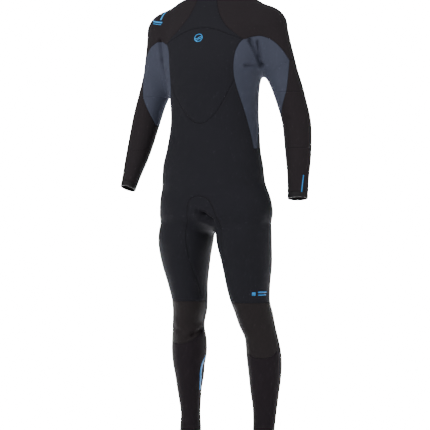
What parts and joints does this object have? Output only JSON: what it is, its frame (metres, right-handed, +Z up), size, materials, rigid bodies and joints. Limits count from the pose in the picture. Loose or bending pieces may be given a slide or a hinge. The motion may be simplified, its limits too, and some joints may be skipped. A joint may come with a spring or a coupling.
{
  "type": "full wetsuit",
  "caption": "Full-length neoprene wetsuit with long sleeves and legs, back zip, grey side panels and knee pads, holding a wearer's shape.",
  "frame": {"origin": "middle of the collar's base, where the suit hangs from the wearer's neck and shoulders", "axes": "+Z up the trunk, the suit's front faces -Y, the wearer's left is +X"},
  "size_m": [0.6271, 0.2656, 1.52],
  "materials": {
    "black_jersey": "matte knitted jersey on neoprene",
    "sleeve_jersey": "matte stretch jersey on neoprene",
    "grey_jersey": "matte blue-grey jersey on neoprene",
    "knee_print": "satin rubber-printed jersey",
    "smooth_skin": "smooth skin neoprene",
    "zip_tape": "woven tape",
    "zip_teeth": "moulded teeth",
    "zip_metal": "satin"
  },
  "bodies": {
    "torso": {"chest_yoke": "black_jersey", "chest_panel": "black_jersey", "front_body_panel": "black_jersey", "seat_panel": "black_jersey", "crotch_gusset": "black_jersey", "zip_backing_flap": "black_jersey", "collar_band": "smooth_skin", "collar_binding": "smooth_skin", "zip_bottom_stop": "zip_metal", "left_upper_back": "black_jersey", "left_knee_back": "black_jersey", "left_side_panel": "grey_jersey", "left_inner_sleeve_panel": "grey_jersey", "left_inner_elbow_panel": "grey_jersey", "left_shoulder_panel": "sleeve_jersey", "left_upper_sleeve": "sleeve_jersey", "left_elbow_zone": "sleeve_jersey", "left_knee_pad": "knee_print", "left_zip_tape": "zip_tape", "left_zip_teeth": "zip_teeth", "right_upper_back": "black_jersey", "right_knee_back": "black_jersey", "right_side_panel": "grey_jersey", "right_inner_sleeve_panel": "grey_jersey", "right_inner_elbow_panel": "grey_jersey", "right_shoulder_panel": "sleeve_jersey", "right_upper_sleeve": "sleeve_jersey", "right_elbow_zone": "sleeve_jersey", "right_knee_pad": "knee_print", "right_zip_tape": "zip_tape", "right_zip_teeth": "zip_teeth"},
    "left_forearm": {"left_forearm_sleeve": "sleeve_jersey", "left_cuff_hem": "smooth_skin"},
    "left_lower_leg": {"left_shin_panel": "sleeve_jersey", "left_calf_panel": "sleeve_jersey", "left_ankle_hem": "smooth_skin"},
    "right_forearm": {"right_forearm_sleeve": "sleeve_jersey", "right_cuff_hem": "smooth_skin"},
    "right_lower_leg": {"right_shin_panel": "sleeve_jersey", "right_calf_panel": "sleeve_jersey", "right_ankle_hem": "smooth_skin"},
    "slider": {"zip_slider": "zip_metal", "zip_slider_bridge": "zip_metal"},
    "puller": {"zip_puller": "zip_metal"},
    "collar_tab_body": {"collar_tab": "black_jersey"}
  },
  "joints": [
    {"name": "left_elbow", "type": "hinge", "parent": "torso", "child": "left_forearm", "pos_m": [0.273, 0.03, -0.438], "axis": [-1, 0, 0], "range_deg": [0, 110], "stiffness_Nm_per_rad": 0.25, "deforming": ["left_elbow_zone", "left_inner_elbow_panel"]},
    {"name": "left_knee", "type": "hinge", "parent": "torso", "child": "left_lower_leg", "pos_m": [0.142, 0.014, -1.088], "axis": [1, 0, 0], "range_deg": [0, 100], "stiffness_Nm_per_rad": 0.5, "deforming": ["left_knee_pad", "left_knee_back"]},
    {"name": "right_elbow", "type": "hinge", "parent": "torso", "child": "right_forearm", "pos_m": [-0.247, -0.034, -0.438], "axis": [-1, 0, 0], "range_deg": [0, 110], "stiffness_Nm_per_rad": 0.25, "deforming": ["right_elbow_zone", "right_inner_elbow_panel"]},
    {"name": "right_knee", "type": "hinge", "parent": "torso", "child": "right_lower_leg", "pos_m": [-0.1, 0.007, -1.078], "axis": [1, 0, 0], "range_deg": [0, 100], "stiffness_Nm_per_rad": 0.5, "deforming": ["right_knee_pad", "right_knee_back"]},
    {"name": "zip_slide", "type": "slide", "parent": "torso", "child": "slider", "axis": [0, 0, -1], "range_m": [0, 0.37]},
    {"name": "puller_hinge", "type": "hinge", "parent": "slider", "child": "puller", "pos_m": [0, 0.1112, -0.0378], "axis": [1, 0, 0], "range_deg": [0, 120]},
    {"name": "collar_tab_hinge", "type": "hinge", "parent": "torso", "child": "collar_tab_body", "pos_m": [0.034, 0.1049, 0.019], "axis": [0, 0, -1], "range_deg": [0, 150], "stiffness_Nm_per_rad": 0.001}
  ]
}
